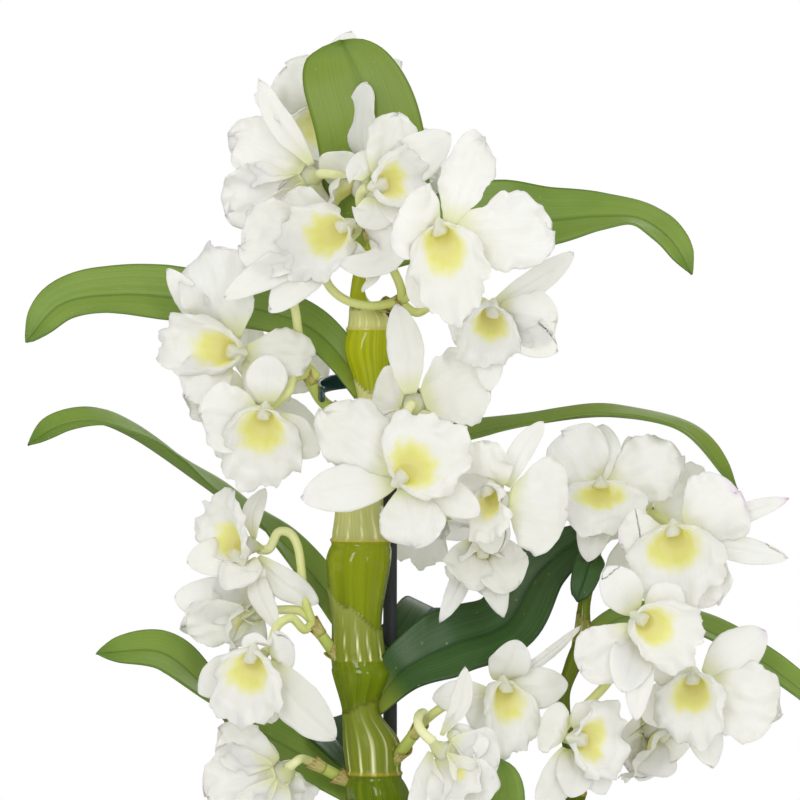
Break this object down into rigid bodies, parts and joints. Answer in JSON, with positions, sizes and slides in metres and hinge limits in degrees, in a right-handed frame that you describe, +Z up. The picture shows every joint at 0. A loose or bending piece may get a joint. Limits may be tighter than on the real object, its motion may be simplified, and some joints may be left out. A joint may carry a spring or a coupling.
{
  "type": "dendrobium orchid",
  "caption": "White flowering dendrobium orchid on two leafy canes, staked and standing in bark in a plain round pot.",
  "frame": {"origin": "centre of the pot's flat base, on the surface it stands on", "axes": "+Z up along the canes, -Y the front that the flowers mostly face, +X to the viewer's right"},
  "size_m": [0.3135, 0.1972, 0.5101],
  "materials": {
    "pot_glaze": "plain warm white glaze",
    "bark": "dark rough bark chips",
    "cane": "glossy olive green cane with papery sheaths",
    "thin_cane": "olive green slender cane",
    "stake": "charcoal plant stake",
    "clip": "dark teal glossy clip",
    "stalk": "pale yellow green flower stalks",
    "petal": "waxy white petals with a lemon throat",
    "leaf_light": "yellow green strap leaf",
    "leaf": "mid green strap leaf",
    "leaf_dark": "dark green strap leaf with a grey sheen"
  },
  "bodies": {
    "root": {"bark": "bark", "bloom_back_1": "petal", "bloom_crown_1": "petal", "bloom_crown_2": "petal", "bloom_crown_3": "petal", "bloom_crown_4": "petal", "bloom_left_1": "petal", "bloom_left_2": "petal", "bloom_low_left_1": "petal", "bloom_low_right_1": "petal", "bloom_low_right_2": "petal", "bloom_middle_1": "petal", "bloom_middle_2": "petal", "bloom_middle_right_1": "petal", "bloom_right_middle_1": "petal", "bloom_right_middle_2": "petal", "bloom_right_middle_3": "petal", "bloom_right_middle_4": "petal", "bloom_right_upper_1": "petal", "bloom_right_upper_2": "petal", "bloom_right_upper_3": "petal", "bloom_upper_1": "petal", "bloom_upper_2": "petal", "bloom_upper_3": "petal", "bloom_upper_4": "petal", "bloom_upper_left_1": "petal", "bloom_upper_left_2": "petal", "bloom_upper_left_3": "petal", "cane_main": "cane", "cane_right": "thin_cane", "clip": "clip", "leaf_back_left": "leaf_dark", "leaf_back_right": "leaf_dark", "leaf_base_back": "leaf", "leaf_base_front": "leaf_dark", "leaf_bottom_front": "leaf", "leaf_bottom_left": "leaf_dark", "leaf_bottom_right": "leaf", "leaf_crown": "leaf_light", "leaf_lower_left": "leaf", "leaf_lower_right": "leaf_dark", "leaf_middle_left": "leaf", "leaf_middle_right": "leaf_light", "leaf_right_cane_long": "leaf_dark", "leaf_right_cane_short": "leaf_dark", "leaf_upper_left": "leaf", "leaf_upper_right": "leaf", "pot": "pot_glaze", "stake": "stake", "stalk_back": "stalk", "stalk_crown": "stalk", "stalk_left": "stalk", "stalk_low_left": "stalk", "stalk_low_right": "stalk", "stalk_middle": "stalk", "stalk_middle_right": "stalk", "stalk_right_middle": "stalk", "stalk_right_upper": "stalk", "stalk_upper": "stalk", "stalk_upper_left": "stalk"}
  },
  "joints": []
}
